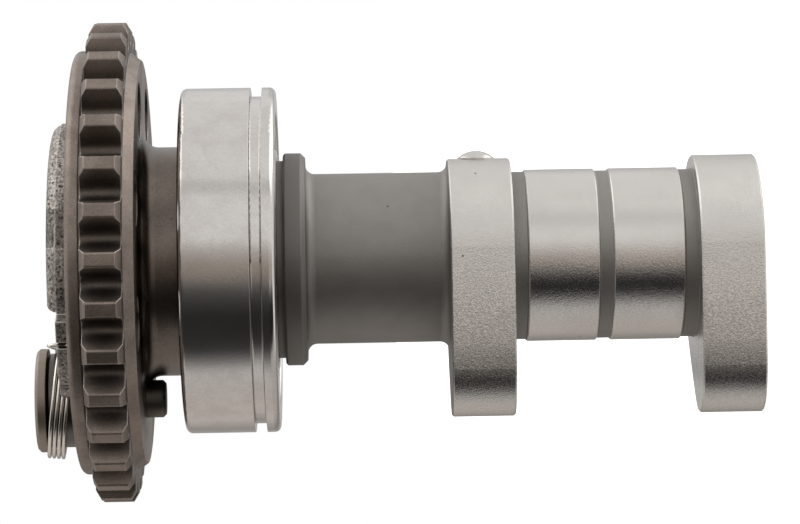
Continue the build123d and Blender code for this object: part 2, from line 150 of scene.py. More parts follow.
class Shader:
    """A node tree, wired by short calls that return sockets."""

    def __init__(self, tree: bpy.types.NodeTree) -> None:
        """Takes a node tree as it is.

        Args:
            tree: The tree that new nodes go to.
        """
        self.tree = tree

    def node(
        self, kind: str, inputs: dict[str | int, object] | None = None, **settings: object
    ) -> bpy.types.Node:
        """A new node.

        Args:
            kind: Node type without its ShaderNode prefix.
            inputs: Values or sockets for its inputs, by name or index.
            settings: Properties of the node.

        Returns:
            The node.
        """
        made = self.tree.nodes.new(f"ShaderNode{kind}")
        for key, value in settings.items():
            setattr(made, key, value)
        for key, value in (inputs or {}).items():
            if isinstance(value, Socket):
                self.tree.links.new(value, made.inputs[key])
            else:
                made.inputs[key].default_value = value
        return made

    def math(self, operation: str, *values: Value) -> Socket:
        """The result of a math operation on sockets or numbers."""
        return self.node("Math", dict(enumerate(values)), operation=operation).outputs[0]

    def product(self, first: Value, second: Value, *others: Value) -> Socket:
        """Two or more values multiplied."""
        result = self.math("MULTIPLY", first, second)
        for other in others:
            result = self.math("MULTIPLY", result, other)
        return result

    def rest(self, share: Value) -> Socket:
        """What a share leaves of one."""
        return self.math("SUBTRACT", 1.0, share)

    def above(self, value: Socket, limit: float) -> Socket:
        """One where a value is over a limit, else zero."""
        return self.math("GREATER_THAN", value, limit)

    def below(self, value: Socket, limit: float) -> Socket:
        """One where a value is under a limit, else zero."""
        return self.math("LESS_THAN", value, limit)

    def between(self, value: Socket, ends: Span) -> Socket:
        """One where a value is between two others, else zero."""
        return self.product(self.above(value, ends[0]), self.below(value, ends[1]))

    def place(self) -> Socket:
        """The point in the object's own coordinates, in metres."""
        return self.node("TexCoord").outputs["Object"]

    def axes(self, vector: Socket) -> tuple[Socket, Socket, Socket]:
        """A vector's parts along X, Y and Z."""
        return tuple(self.node("SeparateXYZ", {0: vector}).outputs)

    def noise(self, vector: Socket, size: float, layers: Layers) -> Socket:
        """Noise from 0 to 1 whose lumps are about a given size in metres."""
        inputs = {
            "Vector": vector,
            "Scale": 1 / size,
            "Detail": layers.detail,
            "Roughness": layers.rough,
        }
        return self.node("TexNoise", inputs).outputs[0]

    def span(self, value: Socket, ends: Span, results: Span) -> Socket:
        """A value carried from one range to another and held there past the ends.

        The way between is softened at both ends where the first range rises, and straight
        where it falls.

        Args:
            value: The value.
            ends: The range it comes from.
            results: What it is at those two ends.

        Returns:
            The value in its new range.
        """
        inputs = dict(enumerate((value, *ends, *results)))
        kind = "SMOOTHSTEP" if ends[0] < ends[1] else "LINEAR"
        return self.node("MapRange", inputs, clamp=True, interpolation_type=kind).outputs[0]

    def mix(self, share: Value, first: Paint, second: Paint, blend: Blend = Blend.MIX) -> Socket:
        """Two colours mixed.

        Args:
            share: Share of the second.
            first: The first colour.
            second: The second colour.
            blend: How they are put together.

        Returns:
            The mixed colour.
        """
        inputs = {0: share}
        for key, paint in ((MIX_FIRST, first), (MIX_SECOND, second)):
            inputs[key] = paint if isinstance(paint, Socket) else (*paint, 1.0)
        made = self.node("Mix", inputs, data_type="RGBA", blend_type=blend.value)
        return made.outputs[MIX_RESULT]

    def toned(self, colour: Paint, tone: Socket) -> Socket:
        """A colour made lighter or darker by a factor."""
        grey = self.node("CombineColor", dict.fromkeys(range(3), tone)).outputs[0]
        return self.mix(1.0, colour, grey, Blend.MULTIPLY)

    def bump(self, height: Socket, depth: Value, normal: Socket | None) -> Socket:
        """A normal that follows small heights.

        Args:
            height: The heights, from 0 to 1.
            depth: What 1 stands for, in metres.
            normal: The normal without them, or None for the surface's own.

        Returns:
            The normal.
        """
        inputs = {"Height": height, "Distance": depth, "Strength": 1.0}
        if normal is not None:
            inputs["Normal"] = normal
        return self.node("Bump", inputs).outputs[0]


class MaterialShader(Shader):
    """The node tree of a new material."""

    def __init__(self, name: str) -> None:
        """Makes the material with an empty tree.

        Args:
            name: Name of the material.
        """
        self.material = bpy.data.materials.new(name)
        self.material.use_nodes = True
        super().__init__(self.material.node_tree)
        self.tree.nodes.clear()

    def finish(self, surface: Socket) -> bpy.types.Material:
        """Puts the surface on the output.

        Args:
            surface: The shader that the material shows.

        Returns:
            The material.
        """
        self.node("OutputMaterial", {"Surface": surface})
        return self.material


@dataclass(frozen=True)
class Grain:
    """The fine grain of a metal.

    Attributes:
        size: Size of its lumps in metres.
        height: Depth in metres.
        shade: How far it lightens and darkens the colour.
        layers: Its layers of noise.
    """

    size: float = 0.2 * MM
    height: float = 2 * MICRON
    shade: float = 0.1
    layers: Layers = GRAIN_LAYERS


@dataclass(frozen=True)
class Marks:
    """Tool marks that run round an axis.

    Attributes:
        size: Distance between them in metres.
        height: Depth in metres.
    """

    size: float
    height: float


@dataclass(frozen=True)
class Edge:
    """Edges that are rounded a little and painted light as a highlight.

    Attributes:
        radius: Radius in metres over which they are rounded.
        share: How far they go to the painted highlight's colour.
        colour: The painted highlight's colour.
    """

    radius: float
    share: float = 0.5
    colour: Colour = (0.5, 0.47, 0.44)

    def round_with_highlight(self, shader: Shader, colour: Socket) -> tuple[Socket, Socket]:
        """Rounds the edges of a metal and paints a highlight on them: they are where the rounded
        normal leaves the true one.

        Args:
            shader: The material being made.
            colour: The metal's colour without them.

        Returns:
            The colour and the normal with them.
        """
        bevel = shader.node("Bevel", {"Radius": self.radius}, samples=BEVEL_SAMPLES)
        true = shader.node("NewGeometry").outputs["Normal"]
        inputs = {0: bevel.outputs[0], 1: true}
        turn = shader.node("VectorMath", inputs, operation="DOT_PRODUCT").outputs["Value"]
        # Painted highlight: the edges are lightened towards the highlight colour.
        painted_highlight = shader.span(turn, HIGHLIGHT_ENDS, (0.0, self.share))
        return shader.mix(painted_highlight, colour, self.colour), bevel.outputs[0]


@dataclass(frozen=True)
class Pits:
    """Small dark pits or stains scattered over a metal.

    Attributes:
        spacing: Mean distance between the cells that may hold one, in metres.
        share: Share of a cell that one covers, as a distance from 0 to 1.
        amount: Share of the cells that hold one.
        shade: How dark they are, from 0 to 1.
    """

    spacing: float
    share: float
    amount: float
    shade: float

    def darken(self, shader: Shader, place: Socket, colour: Socket) -> Socket:
        """Puts the pits into a metal's colour.

        Args:
            shader: The material being made.
            place: Point in the object's coordinates.
            colour: The colour without them.

        Returns:
            The colour with them.
        """
        cells = shader.node("TexVoronoi", {"Vector": place, "Scale": 1 / self.spacing})
        near = shader.below(cells.outputs["Distance"], self.share)
        chance = shader.node("SeparateColor", {0: cells.outputs["Color"]}).outputs[0]
        dark = shader.product(near, shader.below(chance, self.amount), self.shade)
        return shader.mix(dark, colour, PIT_COLOUR)


@dataclass(frozen=True)
class Zone:
    """A stretch along X in which something grows and then fades.

    Attributes:
        start: Places between which it grows, in metres.
        end: Places between which it fades, the far one first, in metres.
        full: Its strength between them.
        left: Share of its strength that is left past the end.
    """

    start: Span
    end: Span
    full: float = 1.0
    left: float = 0.0

    def strength(self, shader: Shader, across: Socket) -> Socket:
        """The strength at a place along X."""
        grown = shader.span(across, self.start, (0.0, self.full))
        return shader.product(grown, shader.span(across, self.end, (self.left, 1.0)))


@dataclass(frozen=True)
class Metal:
    """A bare metal finish, from its colour down to its grain.

    Attributes:
        name: Name of the material.
        slot: The record's slot that it stands for.
        colour: Colour of the reflection, linear.
        stain: Colour that broad patches tend to.
        roughness: Roughness of the smooth parts.
        blotch: Size of the broad patches in metres.
        blotch_share: How far the patches go to the stain colour.
        grain: The fine grain.
        marks: Tool marks, if any.
        edge: Rounded edges with a painted highlight, if any.
        pits: Pits or stains, if any.
        axis: Place of the axis that the marks run round, in X and Y in metres.
    """

    name: str
    slot: str
    colour: Colour
    stain: Colour
    roughness: float
    blotch: float = 6 * MM
    blotch_share: float = 0.5
    grain: Grain = Grain()
    marks: Marks | None = None
    edge: Edge | None = None
    pits: Pits | None = None
    axis: tuple[float, float] = (0.0, 0.0)

    def turned(self, shader: Shader, place: Socket) -> tuple[Socket, Socket, Socket]:
        """The point as it lies round the axis.

        The distance from the axis is the root of the sum of the squares of the point's X and Y
        from there. The way round grows evenly with the angle, up to half a turn.

        Args:
            shader: The material being made.
            place: Point in the object's coordinates.

        Returns:
            Distance from the axis, a short way round it, and height, all in metres.
        """
        across, beside, height = shader.axes(place)
        x = shader.math("SUBTRACT", across, self.axis[0])
        y = shader.math("SUBTRACT", beside, self.axis[1])
        squares = shader.math("ADD", shader.product(x, x), shader.product(y, y))
        angle = shader.math("ABSOLUTE", shader.math("ARCTAN2", y, x))
        return shader.math("SQRT", squares), shader.product(angle, RING_DRIFT), height

    def depth(self, shader: Shader, place: Socket) -> Value:
        """Depth of the fine grain in metres.

        Args:
            shader: The material being made.
            place: Point in the object's coordinates.

        Returns:
            The depth, as a socket or a plain value.
        """
        return self.grain.height

    def base(self, shader: Shader, place: Socket) -> tuple[Socket, Socket]:
        """Colour and roughness before grain, pits and the edges' painted highlight.

        Args:
            shader: The material being made.
            place: Point in the object's coordinates.

        Returns:
            Colour and roughness.
        """
        patches = shader.noise(place, self.blotch, PATCH_LAYERS)
        share = shader.span(patches, PATCH_ENDS, (0.0, self.blotch_share))
        least, most = (self.roughness * factor for factor in ROUGHNESS_SPREAD)
        roughness = shader.span(patches, NOISE_ENDS, (least, most))
        return shader.mix(share, self.colour, self.stain), roughness

    def build(self) -> bpy.types.Material:
        """Builds the material's nodes.

        Returns:
            The material.
        """
        shader = MaterialShader(self.name)
        place = shader.place()
        colour, roughness = self.base(shader, place)
        grain = shader.noise(place, self.grain.size, self.grain.layers)
        tones = (1 - self.grain.shade, 1 + self.grain.shade)
        colour = shader.toned(colour, shader.span(grain, NOISE_ENDS, tones))
        normal = None
        if self.pits:
            colour = self.pits.darken(shader, place, colour)
        # The edges are rounded, and a highlight is painted on them.
        if self.edge:
            colour, normal = self.edge.round_with_highlight(shader, colour)
        normal = shader.bump(grain, self.depth(shader, place), normal)
        if self.marks:
            turned = dict(enumerate(self.turned(shader, place)))
            rings = shader.node("CombineXYZ", turned).outputs[0]
            lines = shader.noise(rings, self.marks.size, MARK_LAYERS)
            normal = shader.bump(lines, self.marks.height, normal)
        surface = {
            "Base Color": colour,
            "Roughness": roughness,
            "Metallic": 1.0,
            "Normal": normal,
        }
        return shader.finish(shader.node("BsdfPrincipled", surface).outputs[0])


@dataclass(frozen=True)
class CamMetal(Metal):
    """The camshaft's metal: ground bright on lobes and journals, dull as turned elsewhere.

    Attributes:
        ground_top: Height below which parts are ground, in metres.
        ground_radius: Radius beyond which those parts are ground, in metres.
        journals: Heights between which the ground parts are journals, in metres.
        lobe_roughness: Roughness of the lobes.
        finer_grain: Share of the lobes' depth of grain that the other parts have.
        speckle: How far light and dark specks go: grain on the lobes' flanks, painted sparkle on
            the journals.
        speckle_size: Size of the specks in metres.
        lobe_specks: Where the lobes have specks.
        journal_painted_sparkle: Where the journals have specks of painted sparkle, only on the side
            towards -X.
        painted_nose_shade: Where the noses' flanks are darker with painted shade, and by how much.
        dull: Colour of the dull parts.
        dull_stain: Colour that patches of the dull parts tend to.
        dull_blotch: Size of those patches in metres.
        dull_roughness: Roughness of the dull parts.
        collar: Colour of the thrust collar.
        collar_foot: Height from which the metal is the collar's, in metres.
    """

    ground_top: float = 39.15 * MM
    ground_radius: float = 10.85 * MM
    journals: Span = (8.5 * MM, 30.5 * MM)
    lobe_roughness: float = 0.24
    finer_grain: float = 0.5
    speckle: float = 0.17
    speckle_size: float = 0.22 * MM
    lobe_specks: Zone = Zone(start=(2.0 * MM, -5.0 * MM), end=(-17.5 * MM, -14.5 * MM), left=0.35)
    journal_painted_sparkle: Zone = Zone(
        start=(1.2 * MM, -1.8 * MM), end=(-8.5 * MM, -5.0 * MM), full=0.9, left=0.35
    )
    painted_nose_shade: Zone = Zone(start=(-10.6 * MM, -14.4 * MM), end=(-17.8 * MM, -15.0 * MM), full=0.48)
    dull: Colour = (0.285, 0.27, 0.253)
    dull_stain: Colour = (0.2451, 0.2322, 0.21758)
    dull_blotch: float = 12 * MM
    dull_roughness: float = 0.56
    collar: Colour = (0.205, 0.193, 0.181)
    collar_foot: float = 57.25 * MM

    def depth(self, shader: Shader, place: Socket) -> Socket:
        """The grain's depth in metres, less on journals and dull parts than on the lobes."""
        height = shader.axes(place)[2]
        journals = shader.between(height, self.journals)
        finer = shader.math("MAXIMUM", journals, shader.above(height, self.ground_top))
        kept = shader.rest(shader.product(finer, 1 - self.finer_grain))
        return shader.product(kept, self.grain.height)

    def tone(self, shader: Shader, place: Socket, journals: Socket, lobes: Socket) -> Socket:
        """How light the ground metal is: one, less the painted shade on the noses' flanks, and with
        the specks.

        Args:
            shader: The material being made.
            place: Point in the object's coordinates.
            journals: One on the journals, else zero.
            lobes: One on the lobes, else zero.

        Returns:
            The factor for its colour.
        """
        across = shader.axes(place)[0]
        on_lobes = shader.product(self.lobe_specks.strength(shader, across), lobes)
        # The journals' specks are painted sparkle, only on the side where the grain catches the
        # light.
        on_journals = shader.product(self.journal_painted_sparkle.strength(shader, across), journals)
        strength = shader.math("ADD", on_lobes, on_journals)
        specks = shader.noise(place, self.speckle_size, SPECK_LAYERS)
        specks = shader.span(specks, NOISE_ENDS, (-self.speckle, self.speckle))
        # Painted shade: the noses' flanks are darkened where a more curved flank would be in shade.
        shade = shader.product(self.painted_nose_shade.strength(shader, across), lobes)
        return shader.math("ADD", shader.rest(shade), shader.product(specks, strength))

    def base(self, shader: Shader, place: Socket) -> tuple[Socket, Socket]:
        """Bright metal where the point is low and far enough out, dull metal elsewhere."""
        bright, smooth = super().base(shader, place)
        radius, _, height = self.turned(shader, place)
        low, out = shader.below(height, self.ground_top), shader.above(radius, self.ground_radius)
        ground = shader.product(low, out)
        journals = shader.between(height, self.journals)
        lobes = shader.rest(journals)
        bright = shader.toned(bright, self.tone(shader, place, journals, lobes))
        patches = shader.noise(place, self.dull_blotch, PATCH_LAYERS)
        share = shader.span(patches, PATCH_ENDS, (0.0, 1.0))
        dull = shader.mix(share, self.dull, self.dull_stain)
        dull = shader.mix(shader.above(height, self.collar_foot), dull, self.collar)
        of_lobes = shader.product(lobes, self.lobe_roughness)
        of_ground = shader.math("ADD", shader.product(smooth, journals), of_lobes)
        of_dull = shader.product(shader.rest(ground), self.dull_roughness)
        roughness = shader.math("ADD", shader.product(of_ground, ground), of_dull)
        return shader.mix(ground, dull, bright), roughness


@dataclass(frozen=True)
class SprocketMetal(Metal):
    """Dark oiled steel, darkest between the teeth with old oil and painted shade, and round the hub
    with painted shade.

    Attributes:
        oil_and_shade: Colour of the parts darkened with oil and painted shade.
        band: Heights of the teeth's lower and upper face, in metres.
        band_radius: Radius beyond which the metal is the band's, in metres.
        gap: Radii between which the gaps of the teeth turn dark with oil and painted shade, in
            metres.
        gap_share: How far the gaps go to that dark colour.
        hub: Radii between which the hub begins, in metres.
        hub_share: How far the hub goes to that dark colour, as painted shade.
        hub_roughness: Roughness of the hub.
    """

    oil_and_shade: Colour = (0.06, 0.05, 0.043)
    band: Span = (79.1 * MM, 84.3 * MM)
    band_radius: float = 26.664 * MM
    gap: Span = (30.3 * MM, 28.8 * MM)
    gap_share: float = 0.75
    hub: Span = (22.1 * MM, 17.0 * MM)
    hub_share: float = 0.45
    hub_roughness: float = 0.3

    def base(self, shader: Shader, place: Socket) -> tuple[Socket, Socket]:
        """Dark metal that is darker in the gaps of the teeth with oil and painted shade, darker at
        the hub with painted shade, and smooth there.
        """
        colour, roughness = super().base(shader, place)
        radius, _, height = self.turned(shader, place)
        band = shader.product(
            shader.between(height, self.band), shader.above(radius, self.band_radius)
        )
        # Painted shade with old oil in the gaps of the teeth, and painted shade round the hub.
        gap = shader.product(shader.span(radius, self.gap, (0.0, self.gap_share)), band)
        hub = shader.product(
            shader.span(radius, self.hub, (0.0, 1.0)), shader.below(height, self.band[1])
        )
        share = shader.math("MAXIMUM", gap, shader.product(hub, self.hub_share))
        change = shader.product(shader.math("SUBTRACT", self.hub_roughness, roughness), hub)
        return shader.mix(share, colour, self.oil_and_shade), shader.math("ADD", roughness, change)


@dataclass(frozen=True)
class PinMetal(Metal):
    """Steel of the pivot pin, whose end inside the sprocket's rim is black with oil and painted
    shade.

    Attributes:
        oil_and_shade: Colour of the end darkened with oil and painted shade.
        oil_and_shade_top: Height below which the pin is darkened with oil and painted shade, in
            metres.
        oil_and_shade_share: How far that end goes to that dark colour.
    """

    oil_and_shade: Colour = (0.05, 0.045, 0.04)
    oil_and_shade_top: float = 80.0 * MM
    oil_and_shade_share: float = 0.7

    def base(self, shader: Shader, place: Socket) -> tuple[Socket, Socket]:
        """Plain steel that is darker below that height, with oil and painted shade."""
        colour, roughness = super().base(shader, place)
        # Oil and painted shade on the end inside the sprocket's rim.
        share = shader.product(shader.below(shader.axes(place)[2], self.oil_and_shade_top), self.oil_and_shade_share)
        return shader.mix(share, colour, self.oil_and_shade), roughness


@dataclass(frozen=True)
class WeightMetal(Metal):
    """Rough sintered steel, darker round the pivot with oil and painted shade, and darker with
    painted shade in one patch of its rim.

    Attributes:
        oil_and_shade: Colour of the parts darkened with oil and painted shade.
        oil_and_shade_reach: Distances from the pivot between which the oil and painted shade begin,
            in metres.
        oil_and_shade_share: How far the parts by the pivot go to that colour.
        painted_shade_patch: Places along X between which the rim is darker with painted shade, in
            metres.
        painted_shade_side: Place along Y beyond which the rim is darker, in metres.
        painted_shade_share: How far the patch goes to that colour.
    """

    oil_and_shade: Colour = (0.06, 0.05, 0.036)
    oil_and_shade_reach: Span = (10.0 * MM, 7.0 * MM)
    oil_and_shade_share: float = 0.6
    painted_shade_patch: Span = (1.9 * MM, 6.7 * MM)
    painted_shade_side: float = -14.5 * MM
    painted_shade_share: float = 0.5

    def base(self, shader: Shader, place: Socket) -> tuple[Socket, Socket]:
        """Rough metal that is darker by the pivot with oil and painted shade, and in the patch with
        painted shade.
        """
        colour, roughness = super().base(shader, place)
        radius, _, _ = self.turned(shader, place)
        across, beside, _ = shader.axes(place)
        # Oil and painted shade round the pivot, and painted shade in one patch of the rim.
        oiled_and_shaded = shader.span(radius, self.oil_and_shade_reach, (0.0, self.oil_and_shade_share))
        painted_shade_patch = shader.product(
            shader.between(across, self.painted_shade_patch),
            shader.below(beside, self.painted_shade_side),
            self.painted_shade_share,
        )
        return shader.mix(shader.math("MAXIMUM", oiled_and_shaded, painted_shade_patch), colour, self.oil_and_shade), roughness


GROUND = CamMetal(
    name="ground_and_dull_steel",
    slot="ground_steel",
    colour=(0.6, 0.575, 0.545),
    stain=(0.55, 0.525, 0.495),
    roughness=0.2,
    grain=Grain(height=60 * MICRON, shade=0.02, layers=Layers(detail=3.0, rough=0.65)),
    marks=Marks(size=0.12 * MM, height=0.6 * MICRON),
    edge=Edge(radius=0.12 * MM, share=0.6, colour=(0.62, 0.6, 0.58)),
    pits=Pits(spacing=2.1 * MM, share=0.07, amount=0.06, shade=0.75),
)
BEARING = Metal(
    name="bearing_ring_steel",
    slot="bearing_steel",
    colour=(0.6, 0.575, 0.55),
    stain=(0.5, 0.465, 0.44),
    roughness=0.16,
    blotch=3.5 * MM,
    blotch_share=0.55,
    grain=Grain(size=0.25 * MM, height=5 * MICRON, shade=0.04),
    marks=Marks(size=0.14 * MM, height=0.7 * MICRON),
    edge=Edge(radius=0.1 * MM, colour=(0.66, 0.64, 0.62)),
    pits=Pits(spacing=2.4 * MM, share=0.06, amount=0.07, shade=0.7),
)
BALLS = Metal(
    name="ball_steel",
    slot="ball_steel",
    colour=(0.66, 0.64, 0.62),
    stain=(0.62, 0.6, 0.58),
    roughness=0.06,
    grain=Grain(height=0.2 * MICRON, shade=0.01),
)
CAGE = Metal(
    name="pressed_cage_steel",
    slot="cage_steel",
    colour=(0.47, 0.44, 0.41),
    stain=(0.38, 0.355, 0.33),
    roughness=0.3,
    blotch=3 * MM,
    grain=Grain(size=0.18 * MM),
    edge=Edge(radius=0.1 * MM, share=0.3),
)
SPROCKET = SprocketMetal(
    name="oiled_sprocket_steel",
    slot="sprocket_steel",
    colour=(0.255, 0.212, 0.182),
    stain=(0.18, 0.148, 0.127),
    roughness=0.46,
    blotch=5 * MM,
    blotch_share=0.8,
    grain=Grain(height=10 * MICRON, shade=0.14),
    edge=Edge(radius=0.22 * MM, share=0.9, colour=(0.55, 0.5, 0.46)),
    pits=Pits(spacing=1.3 * MM, share=0.09, amount=0.1, shade=0.7),
)
SINTERED = WeightMetal(
    name="sintered_weight_steel",
    slot="sintered_steel",
    colour=(0.35, 0.322, 0.294),
    stain=(0.25, 0.228, 0.204),
    roughness=0.55,
    blotch=2.5 * MM,
    grain=Grain(size=0.32 * MM, height=50 * MICRON, shade=0.6),
    edge=Edge(radius=0.35 * MM, share=0.95, colour=(0.75, 0.72, 0.68)),
    pits=Pits(spacing=0.55 * MM, share=0.34, amount=0.45, shade=0.75),
    axis=PIVOT,
)
PIN = PinMetal(
    name="pivot_pin_steel",
    slot="pin_steel",
    colour=(0.31, 0.265, 0.22),
    stain=(0.24, 0.2, 0.165),
    roughness=0.46,
    grain=Grain(height=6 * MICRON),
    marks=Marks(size=0.2 * MM, height=1.5 * MICRON),
    edge=Edge(radius=0.16 * MM, colour=(0.5, 0.47, 0.43)),
    axis=PIVOT,
)
BUSH = Metal(
    name="pivot_bush_steel",
    slot="bush_steel",
    colour=(0.12, 0.111, 0.1),
    stain=(0.09, 0.083, 0.075),
    roughness=0.32,
    edge=Edge(radius=0.1 * MM),
)
WIRE = Metal(
    name="spring_wire",
    slot="spring_wire",
    colour=(0.72, 0.68, 0.63),
    stain=(0.6, 0.56, 0.51),
    roughness=0.16,
    blotch=3 * MM,
    grain=Grain(size=0.12 * MM),
)
HARDENED = Metal(
    name="hardened_pin_steel",
    slot="shaft_steel",
    colour=(0.6, 0.575, 0.55),
    stain=(0.52, 0.5, 0.48),
    roughness=0.16,
    grain=Grain(height=1 * MICRON, shade=0.04),
    edge=Edge(radius=0.12 * MM),
)


@dataclass
class SpringWinding:
    """Torsion spring round the pivot, with one leg in the sprocket and one in the weight.

    Attributes:
        centre: Place of the middle of the coil's foot, in X and Y in metres.
        base_height: Height of the coil's foot in metres.
        wire_radius: Radius of the wire in metres.
        coil_radius: Radius of the coil's middle line in metres.
        pitch: Rise of each turn in metres.
        turns: Number of turns.
        tilt: How far the coil leans about Y, in degrees.
        roll: How far it leans about X, in degrees.
        last_angle: Angle of the coil's end on the weight's side, in degrees.
        weight_leg: Length of the straight leg towards the weight, in metres.
        weight_leg_end: Height at which that leg's bent tip ends, in metres.
        frame_leg: Length of the straight leg towards the sprocket, in metres.
        frame_leg_end: Height at which that leg's bent tip ends, in metres.
        bend_radius: Radius of the bends before the tips, in metres.
        bend_steps: Points along each bend.
        lead_steps: Points along the weight's leg.
        lead_span: Shares of that leg at which the first and last of them lie.
        steps_per_turn: Points along each turn.
        sides: Sides of the wire.
    """

    centre: tuple[float, float] = (-17.95 * MM, 0.0)
    base_height: float = 87.75 * MM
    wire_radius: float = 0.25 * MM
    coil_radius: float = 6.9 * MM
    pitch: float = 0.59 * MM
    turns: float = 4.09
    tilt: float = 5.5
    roll: float = 2.0
    last_angle: float = 2.6
    weight_leg: float = 16.3 * MM
    weight_leg_end: float = 86.4 * MM
    frame_leg: float = 5.0 * MM
    frame_leg_end: float = 84.5 * MM
    bend_radius: float = 0.7 * MM
    bend_steps: int = 10
    lead_steps: int = 16
    lead_span: Span = (0.1, 0.9)
    steps_per_turn: int = 96
    sides: int = 20

    def leaned(self, straight: np.ndarray) -> np.ndarray:
        """Points or directions leaned with the coil, first about Y and then about X."""
        lean, roll = math.radians(self.tilt), math.radians(self.roll)
        about_y = np.array([
            [math.cos(lean), 0.0, math.sin(lean)],
            [0.0, 1.0, 0.0],
            [-math.sin(lean), 0.0, math.cos(lean)],
        ])
        about_x = np.array([
            [1.0, 0.0, 0.0],
            [0.0, math.cos(roll), -math.sin(roll)],
            [0.0, math.sin(roll), math.cos(roll)],
        ])
        return straight @ (about_x @ about_y).T

    def coil(self) -> tuple[np.ndarray, np.ndarray]:
        """Middle line of the coil and its direction.

        A left-hand helix: the angle falls evenly from the first to the last as the height rises
        by the pitch each turn, and the whole leans about its foot. The direction is the change
        of the point with the angle: a quarter turn behind the point, with the pitch's share of
        rise.

        Returns:
            Array (n, 3) of points from the sprocket's end to the weight's end, and array (n, 3)
            of unit directions there.
        """
        count = int(self.turns * self.steps_per_turn)
        t = np.linspace(0.0, 1.0, count + 1)
        angle = np.radians(self.last_angle + 360 * self.turns * (1 - t))
        across, beside = self.coil_radius * np.cos(angle), self.coil_radius * np.sin(angle)
        rise = np.full_like(t, self.pitch / (2 * np.pi))
        points = self.leaned(np.stack([across, beside, self.pitch * self.turns * t], 1))
        ahead = self.leaned(np.stack([beside, -across, rise], 1))
        ahead /= np.linalg.norm(ahead, axis=1, keepdims=True)
        return points + [*self.centre, self.base_height], ahead

    def corner(self, before: np.ndarray, at: np.ndarray, after: np.ndarray) -> np.ndarray:
        """An arc of the bend radius that rounds one corner of a path.

        The arc touches both sides at the same distance from the corner, the radius times the
        tangent of half the turn, and is swept from one side's direction to the other's.

        Args:
            before: Point before the corner.
            at: The corner.
            after: Point after it.

        Returns:
            Array (n, 3) of points along the arc.
        """
        come = (at - before) / np.linalg.norm(at - before)
        go = (after - at) / np.linalg.norm(after - at)
        turn = math.acos(float(np.clip(come @ go, -1, 1)))
        side = go - come * (come @ go)
        side /= np.linalg.norm(side)
        start = at - come * self.bend_radius * math.tan(turn / 2)
        sweep = np.linspace(0.0, turn, self.bend_steps)[:, None]
        return start + self.bend_radius * (np.sin(sweep) * come + (1 - np.cos(sweep)) * side)

    def path(self) -> np.ndarray:
        """The wire's middle line from its end in the sprocket to its end in the weight."""
        coil, ahead = self.coil()
        frame_corner = coil[0] - ahead[0] * self.frame_leg
        weight_corner = coil[-1] + ahead[-1] * self.weight_leg
        frame_end = np.array([*frame_corner[:2], self.frame_leg_end])
        weight_end = np.array([*weight_corner[:2], self.weight_leg_end])
        along = np.linspace(*self.lead_span, self.lead_steps)[:, None]
        lead = coil[-1] + along * (weight_corner - coil[-1])
        return np.concatenate([
            [frame_end],
            self.corner(frame_end, frame_corner, coil[0]),
            coil,
            lead,
            self.corner(coil[-1], weight_corner, weight_end),
            [weight_end],
        ])

    def tube(self, path: np.ndarray) -> np.ndarray:
        """Rings of the wire round its path.

        Each ring lies square to the path, and its first side is the part of the line from the
        coil's axis that is square to the path.

        Args:
            path: Array (n, 3) of the middle line.

        Returns:
            Array (n, sides, 3) of points on the wire's skin.
        """
        steps = np.diff(path, axis=0)
        steps /= np.linalg.norm(steps, axis=1, keepdims=True)
        ahead = np.concatenate([steps[:1], steps[1:] + steps[:-1], steps[-1:]])
        ahead /= np.linalg.norm(ahead, axis=1, keepdims=True)
        outward = path - [*self.centre, 0.0]
        outward[:, 2] = 0.0
        side = outward - ahead * np.sum(outward * ahead, 1, keepdims=True)
        side /= np.linalg.norm(side, axis=1, keepdims=True)
        other = np.cross(ahead, side)
        angle = np.linspace(0, 2 * np.pi, self.sides, endpoint=False)[None, :, None]
        ring = np.cos(angle) * side[:, None] + np.sin(angle) * other[:, None]
        return path[:, None] + self.wire_radius * ring

    def build(self, material: bpy.types.Material) -> bpy.types.Object:
        """Makes the spring between the camshaft and the weight.

        Args:
            material: The wire's finish.

        Returns:
            The spring's object.
        """
        path = self.path()
        spring = Grid.mesh("weight_spring_wire", self.tube(path), wrap=True, caps=True)
        spring.data.materials.append(material)
        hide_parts("weight_spring")
        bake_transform(spring)
        return spring


@dataclass
class Dressing:
    """Which finish each CAD node gets.

    Attributes:
        finishes: The names of the nodes that each finish is for.
    """

    finishes: dict[Metal, tuple[str, ...]] = field(
        default_factory=lambda: {
            GROUND: ("camshaft_body",),
            BEARING: ("bearing_inner_ring", "bearing_outer_ring"),
            BALLS: ("bearing_balls",),
            CAGE: ("cage_half_lower", "cage_half_upper", "cage_rivets"),
            SPROCKET: ("timing_sprocket",),
            SINTERED: ("decompression_weight",),
            PIN: ("weight_pivot_pin",),
            BUSH: ("pivot_bush",),
            HARDENED: ("weight_stop_pin", "release_shaft", "drive_pin", "decompression_plunger"),
        }
    )

    def apply(self) -> None:
        """Builds each finish once and puts it in the slots of its nodes."""
        for finish, nodes in self.finishes.items():
            material = finish.build()
            for node in nodes:
                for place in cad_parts[node].material_slots:
                    place.material = material
                LOG.info("%s: %s for slot %s", node, finish.name, finish.slot)


